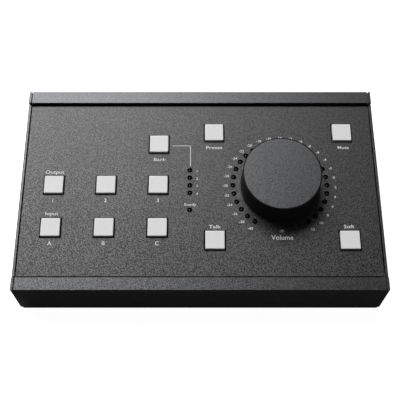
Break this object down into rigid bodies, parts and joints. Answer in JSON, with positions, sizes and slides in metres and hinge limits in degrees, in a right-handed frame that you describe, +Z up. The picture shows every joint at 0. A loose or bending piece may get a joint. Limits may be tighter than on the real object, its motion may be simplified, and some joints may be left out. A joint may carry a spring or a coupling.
{
  "type": "studio monitor controller",
  "caption": "Low wedge-shaped desktop remote for studio monitors, with a large level knob inside an arc of lights and square push keys.",
  "frame": {"origin": "under the middle of the case, on the surface that the feet stand on", "axes": "+X to the right of the person using it, +Y to the rear, +Z up; the top panel rises 2 degrees to the rear"},
  "size_m": [0.215, 0.1304, 0.0524],
  "materials": {
    "rail": "fine satin, grey anodised",
    "end_plate": "satin, grey anodised",
    "panel": "textured powder coat, dark grey",
    "pan": "matt black paint",
    "screw": "blackened",
    "board_screw": "zinc plated",
    "foot": "matt",
    "board": "green solder mask",
    "pillar": "plain",
    "chip": "moulded",
    "led": "clear",
    "switch": "moulded",
    "plunger": "moulded",
    "key": "fine satin, off-white",
    "encoder": "moulded",
    "bush": "nickel plated",
    "shaft": "turned",
    "nut": "nickel plated",
    "knob": "smooth black, half gloss",
    "knob_disc": "fine textured coat, dark grey",
    "collet": "turned",
    "light_guide": "milky, unlit",
    "socket": "moulded",
    "contact": "gilt"
  },
  "bodies": {
    "housing": {"base_pan": "pan", "board_pillars": "pillar", "board_screws": "board_screw", "column_light_guide": "light_guide", "controller_chip": "chip", "encoder_body": "encoder", "encoder_bush": "bush", "encoder_nut": "nut", "end_plate_screws": "screw", "front_rail": "rail", "indicator_leds": "led", "key_switches": "switch", "left_end_plate": "end_plate", "link_socket": "socket", "main_board": "board", "rear_rail": "rail", "right_end_plate": "end_plate", "ring_light_guide": "light_guide", "rubber_feet": "foot", "socket_contacts": "contact", "status_light_guide": "light_guide", "top_panel": "panel"},
    "knob": {"knob_body": "knob", "knob_disc": "knob_disc", "knob_collet": "collet", "encoder_shaft": "shaft"},
    "key_1": {"key_cap_1": "key", "key_plunger_1": "plunger"},
    "key_2": {"key_cap_2": "key", "key_plunger_2": "plunger"},
    "key_3": {"key_cap_3": "key", "key_plunger_3": "plunger"},
    "key_a": {"key_cap_a": "key", "key_plunger_a": "plunger"},
    "key_b": {"key_cap_b": "key", "key_plunger_b": "plunger"},
    "key_c": {"key_cap_c": "key", "key_plunger_c": "plunger"},
    "key_bank": {"key_cap_bank": "key", "key_plunger_bank": "plunger"},
    "key_preset": {"key_cap_preset": "key", "key_plunger_preset": "plunger"},
    "key_mute": {"key_cap_mute": "key", "key_plunger_mute": "plunger"},
    "key_talk": {"key_cap_talk": "key", "key_plunger_talk": "plunger"},
    "key_soften": {"key_cap_soften": "key", "key_plunger_soften": "plunger"}
  },
  "joints": [
    {"name": "knob_turn", "type": "hinge", "parent": "housing", "child": "knob", "pos_m": [0.04805, 0.00073, 0.04441], "axis": [0, -0.0349, 0.9994], "continuous": true},
    {"name": "key_1_press", "type": "slide", "parent": "housing", "child": "key_1", "axis": [0, 0.0349, -0.9994], "range_m": [0, 0.0008], "stiffness_N_per_m": 1500, "springref_m": -0.0003},
    {"name": "key_2_press", "type": "slide", "parent": "housing", "child": "key_2", "axis": [0, 0.0349, -0.9994], "range_m": [0, 0.0008], "stiffness_N_per_m": 1500, "springref_m": -0.0003},
    {"name": "key_3_press", "type": "slide", "parent": "housing", "child": "key_3", "axis": [0, 0.0349, -0.9994], "range_m": [0, 0.0008], "stiffness_N_per_m": 1500, "springref_m": -0.0003},
    {"name": "key_a_press", "type": "slide", "parent": "housing", "child": "key_a", "axis": [0, 0.0349, -0.9994], "range_m": [0, 0.0008], "stiffness_N_per_m": 1500, "springref_m": -0.0003},
    {"name": "key_b_press", "type": "slide", "parent": "housing", "child": "key_b", "axis": [0, 0.0349, -0.9994], "range_m": [0, 0.0008], "stiffness_N_per_m": 1500, "springref_m": -0.0003},
    {"name": "key_c_press", "type": "slide", "parent": "housing", "child": "key_c", "axis": [0, 0.0349, -0.9994], "range_m": [0, 0.0008], "stiffness_N_per_m": 1500, "springref_m": -0.0003},
    {"name": "key_bank_press", "type": "slide", "parent": "housing", "child": "key_bank", "axis": [0, 0.0349, -0.9994], "range_m": [0, 0.0008], "stiffness_N_per_m": 1500, "springref_m": -0.0003},
    {"name": "key_preset_press", "type": "slide", "parent": "housing", "child": "key_preset", "axis": [0, 0.0349, -0.9994], "range_m": [0, 0.0008], "stiffness_N_per_m": 1500, "springref_m": -0.0003},
    {"name": "key_mute_press", "type": "slide", "parent": "housing", "child": "key_mute", "axis": [0, 0.0349, -0.9994], "range_m": [0, 0.0008], "stiffness_N_per_m": 1500, "springref_m": -0.0003},
    {"name": "key_talk_press", "type": "slide", "parent": "housing", "child": "key_talk", "axis": [0, 0.0349, -0.9994], "range_m": [0, 0.0008], "stiffness_N_per_m": 1500, "springref_m": -0.0003},
    {"name": "key_soften_press", "type": "slide", "parent": "housing", "child": "key_soften", "axis": [0, 0.0349, -0.9994], "range_m": [0, 0.0008], "stiffness_N_per_m": 1500, "springref_m": -0.0003}
  ]
}
